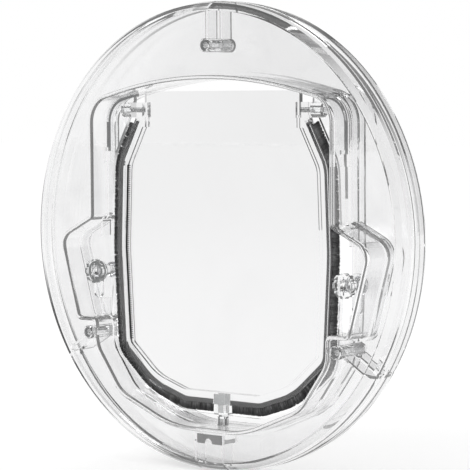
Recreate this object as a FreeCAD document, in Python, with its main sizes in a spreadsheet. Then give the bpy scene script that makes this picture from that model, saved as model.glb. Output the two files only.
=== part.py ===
import FreeCAD, Part
import math
import os
from FreeCAD import Placement, Rotation, Vector
from Sketcher import Constraint

# Round cat flap for a glass door: two clear half frames that clamp the pane,
# a clear swinging flap with brush strips, and two turn locks.
# +Z is up, -Y faces the room, y = 0 is the middle of the glass.

os.makedirs("parts", exist_ok=True)
doc = FreeCAD.newDocument("CatFlap")

SIZES = {
    # half frames
    "rim_radius": 120.0,
    "near_crease_inset": 3.7,
    "far_crease_inset": 2.0,
    "near_plate_front": 12.0,
    "far_plate_back": 12.0,
    "plate_thick": 2.4,
    "rim_wall": 2.5,
    "glass_gap": 3.0,
    "rim_straight": 2.6,
    "bevel_depth": 2.8,
    "lip_height": 1.0,
    "lip_rounding": 0.9,
    # well outline, outer face of its wall, measured in from the rim
    "well_wall": 2.0,
    "well_side_inset": 39.8,
    "arch_inset": 30.2,
    "arch_radius": 250.0,
    "shoulder_fall": 19.6,
    "shoulder_radius": 15.0,
    "pocket_top": 8.8,
    "pocket_reach_inset": 17.7,
    "pocket_reach_height": 2.4,
    "pocket_foot_inset": 30.2,
    "pocket_foot_rise": 13.1,
    "pocket_radius": 9.0,
    "pocket_foot_radius": 4.5,
    "pocket_root_radius": 1.5,
    "waist_inset": 2.8,
    "waist_rise": 60.0,
    "waist_radius": 16.0,
    "haunch_inset": 60.0,
    "haunch_rise": 35.5,
    "haunch_radius": 22.0,
    "sill_x": 24.0,
    "sill_rise": 20.5,
    "sill_radius": 60.0,
    "well_rear": 9.2,
    "pocket_floor_front": 6.0,
    "pocket_floor_thick": 2.0,
    "seat_front": 0.0,
    "seat_thick": 2.4,
    "seat_gap": 1.2,
    "register_gap": 0.3,
    "register_wall": 1.5,
    "register_front": 3.0,
    "tunnel_end": 17.0,
    "tunnel_wall": 2.0,
    # tips of the pile, measured in from the well outline
    "brush_top_gap": 23.3,
    "brush_top_inset": 22.0,
    "brush_top_radius": 0.5,
    "brush_shoulder_gap": 7.3,
    "brush_shoulder_fall": 28.0,
    "brush_shoulder_radius": 24.0,
    "brush_side_gap": 5.6,
    "brush_side_drop": 8.0,
    "brush_side_radius": 120.0,
    "brush_waist_gap": 5.8,
    "brush_waist_fall": 3.0,
    "brush_waist_radius": 13.0,
    "brush_haunch_gap": 11.0,
    "brush_haunch_rise": 1.2,
    "brush_haunch_radius": 40.0,
    "brush_sill_spread": 2.0,
    "brush_sill_gap": 8.6,
    "brush_sill_radius": 18.0,
    "pile_length": 4.4,
    "pile_thick": 1.2,
    "backing_depth": 2.5,
    "backing_thick": 1.6,
    "strip_top_gap": 7.1,
    "strip_gap_half": 5.6,
    # flap
    "flap_centre": 1.0,
    "pane_thick": 2.6,
    "rail_thick": 5.0,
    "rail_width": 6.2,
    "crown_overlap": 0.4,
    "crown_gap": 15.3,
    "rail_break_inset": 30.2,
    "rail_top_gap": 4.3,
    "pivot_gap": 1.7,
    "knuckle_reach": 0.2,
    "knuckle_length": 7.9,
    "knuckle_half": 3.9,
    "pin_radius": 1.25,
    "pin_cover": 1.5,
    "pin_short": 1.0,
    "pin_run_gap": 0.06,
    # corner plates with the bearing eyes
    "corner_foot_rise": 4.5,
    "corner_gap": 0.5,
    "corner_top_rise": 9.2,
    "eye_gap": 0.8,
    "eye_length": 6.4,
    "eye_radius": 3.9,
    "ledge_width": 1.5,
    "ledge_thick": 1.8,
    "nib_drop": 6.0,
    "nib_thick": 2.2,
    # locks
    "lock_offset": 1.9,
    "lock_drop": 21.0,
    "knob_radius": 6.3,
    "knob_front": 7.2,
    "knob_rear": 3.9,
    "flute_radius": 1.3,
    "grip_length": 9.0,
    "grip_width": 1.8,
    "grip_height": 1.0,
    "stem_radius": 3.2,
    "journal_radius": 2.2,
    "journal_end": 9.1,
    "journal_gap": 0.06,
    "floor_gap": 0.1,
    "finger_length": 14.2,
    "finger_radius": 2.6,
    "finger_ring_radius": 5.4,
    "finger_thick": 1.8,
    "rear_finger_front": 4.1,
    "rear_finger_thick": 1.6,
    "washer_radius": 4.2,
    "washer_thick": 0.8,
    "pocket_rib_width": 1.4,
    "pocket_rib_height": 6.5,
    "pocket_rib_length": 9.0,
    # magnet catch
    "holder_half": 3.6,
    "holder_cheek": 0.9,
    "holder_overhang": 0.8,
    "holder_height": 9.8,
    "flap_magnet_half": 2.0,
    "flap_magnet_depth": 3.0,
    "holder_floor": 0.9,
    "post_half": 2.3,
    "post_depth": 4.8,
    "catch_gap": 1.1,
    "post_cap": 1.2,
    "frame_magnet_half": 1.2,
    "frame_magnet_depth": 2.6,
    # fixing posts and screws
    "top_post_inset": 22.5,
    "side_post_gap": 4.3,
    "side_post_fall": 6.3,
    "fixing_radius": 3.5,
    "post_rounding": 0.6,
    "head_radius": 2.6,
    "head_height": 2.0,
    "head_gap": 0.1,
    "head_recess": 0.4,
    "shank_radius": 1.5,
    "shank_gap": 0.1,
    "shank_reach": 8.4,
    "slot_width": 0.8,
    "slot_depth": 0.9,
    "rib_thick": 1.6,
    "rib_margin": 0.4,
    "web_length": 3.0,
    # foot on the edge of the hole, and its grey buffer
    "foot_half": 9.6,
    "foot_inset": 14.7,
    "foot_rear": 1.2,
    "foot_rib_thick": 1.2,
    "buffer_half": 8.4,
    "buffer_height": 5.0,
    "buffer_proud": 0.6,
    "buffer_depth": 1.2,
    "buffer_setback": 0.2,
    "buffer_notch": 2.7,
    "buffer_notch_offset": 1.2,
}

sheet = doc.addObject("Spreadsheet::Sheet", "sizes")
for row, (alias, value) in enumerate(SIZES.items(), start=1):
    sheet.set("A%d" % row, alias)
    sheet.set("B%d" % row, str(value))
    sheet.setAlias("B%d" % row, alias)
doc.recompute()


class Size:
    """A length that knows its number and the sheet expression behind it."""

    def __init__(self, value, text):
        self.value = value
        self.text = text

    def __add__(self, other):
        other = as_size(other)
        return Size(self.value + other.value, "(%s + %s)" % (self.text, other.text))

    def __radd__(self, other):
        return as_size(other) + self

    def __sub__(self, other):
        other = as_size(other)
        return Size(self.value - other.value, "(%s - %s)" % (self.text, other.text))

    def __rsub__(self, other):
        return as_size(other) - self

    def __mul__(self, factor):
        factor = as_size(factor)
        return Size(self.value * factor.value, "(%s * %s)" % (self.text, factor.text))

    def __truediv__(self, factor):
        factor = as_size(factor)
        return Size(self.value / factor.value, "(%s / %s)" % (self.text, factor.text))

    def __neg__(self):
        return Size(-self.value, "(0 - %s)" % self.text)


def as_size(value):
    """A plain number or a Size, as a Size."""
    if isinstance(value, Size):
        return value
    return Size(float(value), repr(float(value)))


RELATED = {}


def size(name):
    """The named value from the sheet, or the relation that gives it."""
    if name in RELATED:
        return RELATED[name]
    return Size(SIZES[name], "sizes." + name)


def inside(name, base, clearance):
    """A size that lies a named clearance inside another."""
    RELATED[name] = size(base) - size(clearance)


def beyond(name, base, clearance):
    """A size that lies a named clearance beyond another."""
    RELATED[name] = size(base) + size(clearance)


# Everything stands off the rim, so the pieces keep together when it changes
inside("near_crease_radius", "rim_radius", "near_crease_inset")
inside("far_crease_radius", "rim_radius", "far_crease_inset")
inside("well_half_width", "rim_radius", "well_side_inset")
inside("arch_apex", "rim_radius", "arch_inset")
inside("shoulder_height", "arch_apex", "shoulder_fall")
inside("pocket_reach", "rim_radius", "pocket_reach_inset")
inside("pocket_foot_x", "rim_radius", "pocket_foot_inset")
inside("waist_x", "well_half_width", "waist_inset")
inside("waist_drop", "rim_radius", "waist_rise")
inside("pocket_foot", "waist_drop", "pocket_foot_rise")
inside("haunch_x", "rim_radius", "haunch_inset")
inside("haunch_drop", "rim_radius", "haunch_rise")
inside("sill_drop", "rim_radius", "sill_rise")

# The flap and its brush keep their gaps to the well
inside("brush_top", "arch_apex", "brush_top_gap")
inside("brush_top_x", "well_half_width", "brush_top_inset")
inside("brush_shoulder_x", "well_half_width", "brush_shoulder_gap")
inside("brush_shoulder", "brush_top", "brush_shoulder_fall")
inside("brush_side_x", "well_half_width", "brush_side_gap")
inside("brush_waist_x", "waist_x", "brush_waist_gap")
beyond("brush_waist_drop", "waist_drop", "brush_waist_fall")
inside("brush_haunch_x", "haunch_x", "brush_haunch_gap")
inside("brush_haunch_drop", "haunch_drop", "brush_haunch_rise")
beyond("brush_sill_x", "sill_x", "brush_sill_spread")
inside("brush_sill_drop", "sill_drop", "brush_sill_gap")
inside("strip_top", "brush_top", "strip_top_gap")
inside("crown_height", "arch_apex", "crown_gap")
inside("rail_break", "well_half_width", "rail_break_inset")
inside("rail_top", "brush_top", "rail_top_gap")

# Pivots, corner plates, locks, catch and posts
inside("pivot_height", "brush_top", "pivot_gap")
beyond("knuckle_outer", "brush_top_x", "knuckle_reach")
inside("knuckle_inner", "knuckle_outer", "knuckle_length")
beyond("crown_half_width", "knuckle_inner", "crown_overlap")
beyond("pin_start", "knuckle_inner", "pin_cover")
beyond("corner_inner", "knuckle_outer", "corner_gap")
beyond("eye_inner", "knuckle_outer", "eye_gap")
beyond("eye_outer", "eye_inner", "eye_length")
inside("pin_end", "eye_outer", "pin_short")
beyond("corner_foot", "brush_shoulder", "corner_foot_rise")
beyond("corner_top", "pivot_height", "corner_top_rise")
beyond("lock_x", "well_half_width", "lock_offset")
beyond("holder_drop", "brush_sill_drop", "holder_overhang")
inside("holder_top", "brush_sill_drop", "holder_height")
inside("top_post_height", "rim_radius", "top_post_inset")
beyond("side_post_x", "waist_x", "side_post_gap")
beyond("side_post_drop", "pocket_foot", "side_post_fall")
inside("foot_drop", "rim_radius", "foot_inset")


def bind(obj, prop, value):
    """Bind one property to the sheet."""
    obj.setExpression(prop, as_size(value).text)


def place(obj, x, y, z, rotation=None):
    """Put an object at a bound position."""
    x, y, z = as_size(x), as_size(y), as_size(z)
    obj.Placement = Placement(Vector(x.value, y.value, z.value), rotation or Rotation())
    bind(obj, "Placement.Base.x", x)
    bind(obj, "Placement.Base.y", y)
    bind(obj, "Placement.Base.z", z)


def block(name, x0, x1, y0, y1, z0, z1):
    """A box between two bound corners."""
    obj = doc.addObject("Part::Box", name)
    for prop, low, high in (("Length", x0, x1), ("Width", y0, y1), ("Height", z0, z1)):
        span = as_size(high) - as_size(low)
        setattr(obj, prop, span.value)
        bind(obj, prop, span)
    place(obj, x0, y0, z0)
    return obj


ALONG_Y = Rotation(Vector(1, 0, 0), -90)
ALONG_X = Rotation(Vector(0, 1, 0), 90)


def rod(name, radius, x, y, z, length, rotation=ALONG_Y):
    """A cylinder that starts at a bound point and runs along Y, or along X."""
    obj = doc.addObject("Part::Cylinder", name)
    obj.Radius = as_size(radius).value
    obj.Height = as_size(length).value
    bind(obj, "Radius", radius)
    bind(obj, "Height", length)
    place(obj, x, y, z, rotation)
    return obj


def fuse(name, *shapes):
    """Join solids into one."""
    obj = doc.addObject("Part::MultiFuse", name)
    obj.Shapes = list(shapes)
    obj.Refine = True
    return obj


def cut(name, base, *tools):
    """Take one or more solids away from a base."""
    tool = tools[0] if len(tools) == 1 else fuse(name + "_tool", *tools)
    obj = doc.addObject("Part::Cut", name)
    obj.Base = base
    obj.Tool = tool
    obj.Refine = True
    return obj


def common(name, *shapes):
    """Keep only what the solids share."""
    obj = doc.addObject("Part::MultiCommon", name)
    obj.Shapes = list(shapes)
    obj.Refine = True
    return obj


def round_front(name, base, y, radius):
    """Round the edges of a solid that lie in one plane across Y."""
    doc.recompute()
    level = as_size(y).value
    chosen = []
    for number, edge in enumerate(base.Shape.Edges, start=1):
        if all(abs(vertex.Y - level) < 1e-6 for vertex in edge.Vertexes):
            chosen.append((number, radius.value, radius.value))
    obj = doc.addObject("Part::Fillet", name)
    obj.Base = base
    obj.Edges = chosen
    return obj


SHARPEST = 0.3


def rounded_edges(corners):
    """Lines and arcs of a closed outline from (x, z, radius) corners."""
    count = len(corners)
    joints = []
    for index, (x, z, radius) in enumerate(corners):
        here = Vector(x, z, 0)
        before = Vector(*corners[index - 1][:2], 0)
        after = Vector(*corners[(index + 1) % count][:2], 0)
        to_before = (before - here).normalize()
        to_after = (after - here).normalize()
        half_turn = (math.pi - to_before.getAngle(to_after)) / 2.0
        reach = radius * math.tan(half_turn)
        start = here + to_before * reach
        end = here + to_after * reach
        middle_way = (to_before + to_after).normalize()
        middle = here + middle_way * (radius / math.cos(half_turn) - radius)
        joints.append((start, middle, end))
    edges = []
    for index, (start, middle, end) in enumerate(joints):
        edges.append(Part.Arc(start, middle, end))
        following = joints[(index + 1) % count][0]
        edges.append(Part.LineSegment(end, following))
    return edges


def outline(name, half, grow=0.0):
    """A mirrored outline as a sketch in the XZ plane.

    half lists (x, z, radius) from the top down on the +X side. grow moves
    every side outwards by that much, and turns the corner radii with it.
    """
    points = [(x.value, z.value, r.value) for x, z, r in half]
    loop = list(points)
    loop += [(-x, z, r) for x, z, r in reversed(points) if x > 0]
    moved = grow_loop(loop, as_size(grow).value)
    sketch = doc.addObject("Sketcher::SketchObject", name)
    sketch.Placement = Placement(Vector(), Rotation(Vector(1, 0, 0), 90))
    sketch.addGeometry(rounded_edges(moved), False)
    return sketch


def grow_loop(loop, grow):
    """Move each side of a clockwise loop outwards and keep its corners round."""
    count = len(loop)
    moved = []
    for index, (x, z, radius) in enumerate(loop):
        here = Vector(x, z, 0)
        arriving = (here - Vector(*loop[index - 1][:2], 0)).normalize()
        leaving = (Vector(*loop[(index + 1) % count][:2], 0) - here).normalize()
        turn = arriving.cross(leaving).z
        out_arriving = Vector(-arriving.y, arriving.x, 0)
        out_leaving = Vector(-leaving.y, leaving.x, 0)
        bisector = out_arriving + out_leaving
        shift = bisector * (grow / (1.0 + out_arriving.dot(out_leaving)))
        corner = here + shift
        new_radius = radius + grow if turn < 0 else radius - grow
        moved.append((corner.x, corner.y, max(new_radius, SHARPEST)))
    return moved


def slab(name, profile, y0, y1):
    """Extrude an outline between two bound Y planes."""
    y0, y1 = as_size(y0), as_size(y1)
    obj = doc.addObject("Part::Extrusion", name)
    obj.Base = profile
    obj.DirMode = "Custom"
    obj.Dir = Vector(0, 1, 0)
    obj.Solid = True
    obj.LengthFwd = y1.value
    obj.LengthRev = -y0.value
    bind(obj, "LengthFwd", y1)
    bind(obj, "LengthRev", -y0)
    return obj


def turned(name, points):
    """Turn a profile of bound (radius, y) points about the Y axis."""
    sketch = doc.addObject("Sketcher::SketchObject", name + "_profile")
    count = len(points)
    vectors = [Vector(as_size(r).value, as_size(y).value, 0) for r, y in points]
    lines = [Part.LineSegment(vectors[i], vectors[(i + 1) % count]) for i in range(count)]
    sketch.addGeometry(lines, False)
    for index in range(count):
        sketch.addConstraint(Constraint("Coincident", index, 2, (index + 1) % count, 1))
    for index, (radius, y) in enumerate(points):
        for kind, value in (("DistanceX", radius), ("DistanceY", y)):
            value = as_size(value)
            number = sketch.addConstraint(
                Constraint(kind, -1, 1, index, 1, value.value))
            sketch.setExpression("Constraints[%d]" % number, value.text)
    obj = doc.addObject("Part::Revolution", name)
    obj.Source = sketch
    obj.Axis = Vector(0, 1, 0)
    obj.Base = Vector(0, 0, 0)
    obj.Angle = 360
    obj.Solid = True
    return obj


# Outlines

well_half = [
    (as_size(0), size("arch_apex"), size("arch_radius")),
    (size("well_half_width"), size("shoulder_height"), size("shoulder_radius")),
    (size("well_half_width"), size("pocket_top"), size("pocket_root_radius")),
    (size("pocket_reach"), -size("pocket_reach_height"), size("pocket_radius")),
    (size("pocket_foot_x"), -size("pocket_foot"), size("pocket_foot_radius")),
    (size("waist_x"), -size("pocket_foot"), size("pocket_root_radius")),
    (size("waist_x"), -size("waist_drop"), size("waist_radius")),
    (size("haunch_x"), -size("haunch_drop"), size("haunch_radius")),
    (size("sill_x"), -size("sill_drop"), size("sill_radius")),
]
tunnel_half = [
    (as_size(0), size("arch_apex"), size("arch_radius")),
    (size("well_half_width"), size("shoulder_height"), size("shoulder_radius")),
    (size("well_half_width"), as_size(0), size("arch_radius")),
    (size("waist_x"), -size("waist_drop"), size("waist_radius")),
    (size("haunch_x"), -size("haunch_drop"), size("haunch_radius")),
    (size("sill_x"), -size("sill_drop"), size("sill_radius")),
]
brush_half = [
    (size("brush_top_x"), size("brush_top"), size("brush_top_radius")),
    (size("brush_shoulder_x"), size("brush_shoulder"), size("brush_shoulder_radius")),
    (size("brush_side_x"), -size("brush_side_drop"), size("brush_side_radius")),
    (size("brush_waist_x"), -size("brush_waist_drop"), size("brush_waist_radius")),
    (size("brush_haunch_x"), -size("brush_haunch_drop"), size("brush_haunch_radius")),
    (size("brush_sill_x"), -size("brush_sill_drop"), size("brush_sill_radius")),
]

WALL = size("well_wall")
well_outer = outline("well_outer", well_half)
well_inner = outline("well_inner", well_half, -WALL)
well_ledge = outline("well_ledge", well_half, -WALL - size("ledge_width"))
register_inner = outline("register_inner", well_half, size("register_gap"))
register_outer = outline(
    "register_outer", well_half, size("register_gap") + size("register_wall"))
tunnel_outer = outline("tunnel_outer", tunnel_half)
tunnel_inner = outline("tunnel_inner", tunnel_half, -size("tunnel_wall"))
seat_edge = outline("seat_edge", brush_half, size("seat_gap"))
brush_tips = outline("brush_tips", brush_half)
rail_outer = outline("rail_outer", brush_half, -size("pile_length"))
groove_bed = outline(
    "groove_bed", brush_half, -size("pile_length") - size("backing_depth"))
rail_inner = outline(
    "rail_inner", brush_half, -size("pile_length") - size("rail_width"))

FRONT = -size("near_plate_front")
LIP = FRONT - size("lip_height")
BACK = size("far_plate_back")
GAP = size("glass_gap") / 2
RIM = size("rim_radius")
THICK = size("plate_thick")
BEYOND = 1.0


# The two half frames

def half_shell(name, side, face, crease):
    """The plate with its rounded rim on one side of the glass, and its solid."""
    edge = as_size(side) * GAP
    straight = edge + as_size(side) * size("rim_straight")
    bevel = face - as_size(side) * size("bevel_depth")
    inner_rim = RIM - size("rim_wall")
    shoulder = crease + (RIM - crease) * 0.7
    solid = turned(name + "_solid", [
        (as_size(0), edge),
        (RIM, edge),
        (RIM, straight),
        (shoulder, bevel),
        (crease, face),
        (as_size(0), face),
    ])
    under = face - as_size(side) * THICK
    hollow = turned(name + "_hollow", [
        (as_size(0), edge - as_size(side) * BEYOND),
        (inner_rim, edge - as_size(side) * BEYOND),
        (inner_rim, straight),
        (crease - size("rim_wall") / 2, under),
        (as_size(0), under),
    ])
    return cut(name + "_shell", solid, hollow), solid


POSTS = (
    ("top", as_size(0), size("top_post_height")),
    ("left", -size("side_post_x"), -size("side_post_drop")),
    ("right", size("side_post_x"), -size("side_post_drop")),
)


def radial_rib(name, x, z, y0, y1, solid):
    """A rib from a post straight out to the rim, kept inside the shell."""
    obj = doc.addObject("Part::Box", name + "_bar")
    length = RIM
    obj.Length = length.value
    bind(obj, "Length", length)
    width = as_size(y1) - as_size(y0)
    obj.Width = width.value
    bind(obj, "Width", width)
    obj.Height = size("rib_thick").value
    bind(obj, "Height", size("rib_thick"))
    angle = math.atan2(z.value, x.value)
    turn = Rotation(Vector(0, 1, 0), -math.degrees(angle))
    lift = turn.multVec(Vector(0, 0, -size("rib_thick").value / 2))
    obj.Placement = Placement(
        Vector(x.value, as_size(y0).value, z.value) + lift, turn)
    bind(obj, "Placement.Base.y", y0)
    return common(name, obj, solid)


near_shell, near_solid = half_shell("near", -1.0, FRONT, size("near_crease_radius"))
far_shell, far_solid = half_shell("far", 1.0, BACK, size("far_crease_radius"))

WELL_REAR = size("well_rear")
SEAT = size("seat_front")
SEAT_BACK = SEAT + size("seat_thick")
FLOOR = size("pocket_floor_front")
FLOOR_BACK = FLOOR + size("pocket_floor_thick")
SIDE = size("well_half_width") - WALL
POCKET_REACH = size("pocket_reach")
LOCK_X = size("lock_x")
LOCK_Z = -size("lock_drop")

well_tube = round_front(
    "well_tube",
    cut(
        "well_tube_blank",
        slab("well_tube_outer", well_outer, LIP, WELL_REAR),
        slab("well_tube_bore", well_inner, LIP - BEYOND, WELL_REAR + BEYOND)),
    LIP, size("lip_rounding"))
plate_opening = slab("plate_opening", well_inner, LIP - BEYOND, as_size(0))

# Pocket floors beside the flap
pocket_floor_parts = []
pocket_mouths = []
for side, tag in ((-1.0, "left"), (1.0, "right")):
    near_x, far_x = (SIDE, POCKET_REACH) if side > 0 else (-POCKET_REACH, -SIDE)
    pocket_floor_parts.append(block(
        "pocket_zone_" + tag, near_x, far_x, FLOOR, FLOOR_BACK,
        -size("pocket_foot"), size("pocket_top")))
    mouth_near = SIDE - size("ledge_width") * 2
    low, high = (mouth_near, POCKET_REACH) if side > 0 else (-POCKET_REACH, -mouth_near)
    pocket_mouths.append(block(
        "pocket_mouth_" + tag, low, high, SEAT - BEYOND, SEAT_BACK + BEYOND,
        -size("pocket_foot") + WALL, size("pocket_top") - WALL))
pocket_floors = common(
    "pocket_floors",
    slab("pocket_floor_slab", well_outer, FLOOR, FLOOR_BACK),
    fuse("pocket_zones", *pocket_floor_parts))

pocket_ribs = []
for side, tag in ((-1.0, "left"), (1.0, "right")):
    half = size("pocket_rib_width") / 2
    x0 = LOCK_X * side - half
    x1 = LOCK_X * side + half
    front = FLOOR - size("pocket_rib_height")
    top = size("pocket_top") - WALL
    pocket_ribs.append(block(
        "pocket_rib_upper_" + tag, x0, x1, front, FLOOR, top - size("pocket_rib_length"), top))
    foot = -size("pocket_foot") + WALL
    pocket_ribs.append(block(
        "pocket_rib_lower_" + tag, x0, x1, front, FLOOR, foot, foot + size("pocket_rib_length")))

# Seat round the flap, below the corner plates
CORNER_FOOT = size("corner_foot")
seat_plate = cut(
    "seat_plate",
    common(
        "seat_blank",
        slab("seat_slab", well_inner, SEAT, SEAT_BACK),
        block("seat_zone", -RIM, RIM, SEAT - BEYOND, SEAT_BACK + BEYOND, -RIM, CORNER_FOOT)),
    slab("seat_opening", seat_edge, SEAT - BEYOND, SEAT_BACK + BEYOND),
    *pocket_mouths)

# Ledge behind each corner plate and a nib in front of it
ledge_back = SEAT_BACK + size("ledge_thick")
ledge = common(
    "ledge",
    cut(
        "ledge_ring",
        slab("ledge_outer", well_inner, SEAT_BACK, ledge_back),
        slab("ledge_bore", well_ledge, SEAT_BACK - BEYOND, ledge_back + BEYOND)),
    fuse(
        "ledge_zones",
        block("ledge_zone_left", -RIM, -size("corner_inner"), SEAT_BACK, ledge_back,
              CORNER_FOOT - size("nib_drop"), RIM),
        block("ledge_zone_right", size("corner_inner"), RIM, SEAT_BACK, ledge_back,
              CORNER_FOOT - size("nib_drop"), RIM)))
nibs = []
for side, tag in ((-1.0, "left"), (1.0, "right")):
    low, high = SIDE - size("ledge_width"), SIDE + WALL / 2
    if side < 0:
        low, high = -high, -low
    nibs.append(block(
        "nib_" + tag, low, high, SEAT - size("nib_thick"), SEAT,
        CORNER_FOOT - size("nib_drop"), CORNER_FOOT + size("nib_drop") / 3))

near_bosses = []
near_bores = []
far_bosses = []
far_bores = []
screws = []
MARGIN = size("rib_margin")
for tag, x, z in POSTS:
    near_bosses.append(round_front(
        "near_post_" + tag,
        rod("near_post_blank_" + tag, size("fixing_radius"), x, LIP, z, -LIP),
        LIP, size("post_rounding")))
    near_bosses.append(radial_rib(
        "near_rib_" + tag, x, z, FRONT + THICK / 2, -GAP - MARGIN, near_solid))
    near_bores.append(rod(
        "near_bore_" + tag, size("shank_radius") + size("shank_gap"), x, LIP - BEYOND, z,
        -LIP + BEYOND * 2))
    recess = size("head_height") + size("head_recess")
    near_bores.append(rod(
        "head_recess_" + tag, size("head_radius") + size("head_gap"), x, LIP - BEYOND, z,
        recess + BEYOND))
    far_bosses.append(rod("far_post_" + tag, size("fixing_radius"), x, as_size(0), z, BACK))
    far_bosses.append(radial_rib(
        "far_rib_" + tag, x, z, GAP + MARGIN, BACK - THICK / 2, far_solid))
    far_bores.append(rod(
        "far_bore_" + tag, size("shank_radius"), x, -as_size(BEYOND), z,
        size("shank_reach") + BEYOND * 1.6))
    head_front = LIP + size("head_recess")
    head_back = head_front + size("head_height")
    screw = cut(
        "screw_" + tag,
        fuse(
            "screw_body_" + tag,
            rod("screw_head_" + tag, size("head_radius"), x, head_front, z,
                size("head_height")),
            rod("screw_shank_" + tag, size("shank_radius"), x, head_back, z,
                size("shank_reach") - head_back)),
        block("screw_slot_" + tag, x - size("head_radius") - BEYOND,
              x + size("head_radius") + BEYOND, head_front - BEYOND,
              head_front + size("slot_depth"), z - size("slot_width") / 2,
              z + size("slot_width") / 2))
    screws.append(screw)
for side, tag in ((-1.0, "left"), (1.0, "right")):
    low = size("waist_x") - WALL / 2
    high = size("side_post_x") - size("fixing_radius") + BEYOND
    if side < 0:
        low, high = -high, -low
    near_bosses.append(block(
        "post_web_" + tag, low, high, FRONT + THICK / 2, -GAP - MARGIN,
        -size("side_post_drop") - size("web_length") / 2,
        -size("side_post_drop") + size("web_length") / 2))

# Foot that rests on the edge of the hole in the glass, with a buffer in a slot
FOOT = size("foot_half")
FOOT_DROP = size("foot_drop")
BUFFER = size("buffer_half")
buffer_front = FRONT + THICK + size("buffer_setback")
buffer_back = buffer_front + size("buffer_depth")
buffer_foot = -FOOT_DROP - size("buffer_proud")
buffer_top = buffer_foot + size("buffer_height")
buffer_notch = rod(
    "buffer_notch", size("buffer_notch"), -size("buffer_notch_offset"), buffer_front - BEYOND,
    buffer_foot, size("buffer_depth") + BEYOND * 2)
foot_buffer = cut(
    "foot_buffer",
    block("buffer_block", -BUFFER, BUFFER, buffer_front, buffer_back, buffer_foot, buffer_top),
    buffer_notch)
foot = block("foot_block", -FOOT, FOOT, FRONT + THICK / 2, size("foot_rear"), -FOOT_DROP,
             -size("sill_drop") + WALL / 2)
buffer_slot = block("buffer_slot", -BUFFER, BUFFER, buffer_front, buffer_back,
                    buffer_foot - BEYOND, buffer_top)
foot_ribs = common(
    "foot_ribs",
    fuse(
        "foot_rib_bars",
        block("foot_rib_left", -FOOT, -FOOT + size("foot_rib_thick"), FRONT + THICK / 2,
              -GAP - MARGIN, -RIM, -FOOT_DROP + BEYOND),
        block("foot_rib_right", FOOT - size("foot_rib_thick"), FOOT, FRONT + THICK / 2,
              -GAP - MARGIN, -RIM, -FOOT_DROP + BEYOND)),
    near_solid)

# Magnet post on the sill
SILL = -size("sill_drop") + WALL
POST_TOP = -size("holder_drop") - size("catch_gap")
POST_HALF = size("post_half")
MID = size("flap_centre")
post_front = MID - size("post_depth") / 2
post_back = MID + size("post_depth") / 2
post_notch = block("post_notch", -POST_HALF, POST_HALF, post_front, post_back, SILL, POST_TOP + BEYOND)

journal_holes = []
for side, tag in ((-1.0, "left"), (1.0, "right")):
    journal_holes.append(rod(
        "journal_hole_" + tag, size("journal_radius") + size("journal_gap"),
        LOCK_X * side, FLOOR - BEYOND, LOCK_Z, size("pocket_floor_thick") + BEYOND * 2))

inner_frame = cut(
    "inner_frame",
    fuse(
        "inner_body",
        cut("near_ring", near_shell, plate_opening),
        well_tube, pocket_floors, seat_plate, ledge, foot, foot_ribs,
        *pocket_ribs, *nibs, *near_bosses),
    post_notch, buffer_slot, *near_bores, *journal_holes)

TUNNEL_END = size("tunnel_end")
far_plate_inner = BACK - THICK
outer_frame = cut(
    "outer_frame",
    fuse(
        "outer_body",
        far_shell,
        slab("tunnel_tube", tunnel_outer, far_plate_inner, TUNNEL_END),
        cut(
            "register_ring",
            slab("register_tube", register_outer, size("register_front"), far_plate_inner + BEYOND),
            slab("register_bore", register_inner, size("register_front") - BEYOND,
                 far_plate_inner)),
        *far_bosses),
    slab("tunnel_bore", tunnel_inner, far_plate_inner - BEYOND, TUNNEL_END + BEYOND),
    *far_bores)

fixing_screws = doc.addObject("Part::Compound", "fixing_screws")
fixing_screws.Links = screws

# Corner plates with the bearing eyes of the flap

PIVOT_Z = size("pivot_height")
corner_plates = {}
for side, tag in ((-1.0, "left"), (1.0, "right")):
    low, high = size("corner_inner"), RIM
    eye_low = size("eye_inner")
    if side < 0:
        low, high = -high, -low
        eye_low = -size("eye_outer")
    eye_length = size("eye_outer") - size("eye_inner")
    web = cut(
        "corner_web_" + tag,
        common(
            "corner_blank_" + tag,
            slab("corner_slab_" + tag, well_inner, SEAT, SEAT_BACK),
            block("corner_zone_" + tag, low, high, SEAT, SEAT_BACK, CORNER_FOOT,
                  size("corner_top"))),
        slab("corner_edge_" + tag, seat_edge, SEAT - BEYOND, SEAT_BACK + BEYOND))
    eye = rod("eye_" + tag, size("eye_radius"), eye_low, MID, PIVOT_Z, eye_length, ALONG_X)
    bore = rod("eye_bore_" + tag, size("pin_radius") + size("pin_run_gap"),
               eye_low - BEYOND, MID, PIVOT_Z, eye_length + BEYOND * 2, ALONG_X)
    corner_plates[tag] = cut("corner_plate_" + tag, fuse("corner_body_" + tag, web, eye), bore)

# Flap

PANE_FRONT = MID - size("pane_thick") / 2
PANE_BACK = MID + size("pane_thick") / 2
RAIL_FRONT = MID - size("rail_thick") / 2
RAIL_BACK = MID + size("rail_thick") / 2
CROWN = size("crown_half_width")
rail_ring = cut(
    "rail_ring",
    slab("rail_blank", rail_outer, RAIL_FRONT, RAIL_BACK),
    slab("rail_window", rail_inner, RAIL_FRONT - BEYOND, RAIL_BACK + BEYOND),
    block("rail_break_cut", -size("rail_break"), size("rail_break"), RAIL_FRONT - BEYOND,
          RAIL_BACK + BEYOND, as_size(0), RIM),
    block("rail_top_cut", -RIM, RIM, RAIL_FRONT - BEYOND, RAIL_BACK + BEYOND,
          size("rail_top"), RIM))
pane = fuse(
    "pane",
    slab("pane_blank", rail_outer, PANE_FRONT, PANE_BACK),
    block("pane_crown", -CROWN, CROWN, PANE_FRONT, PANE_BACK, as_size(0), size("crown_height")))
knuckles = []
pin_bores = []
pins = {}
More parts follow.
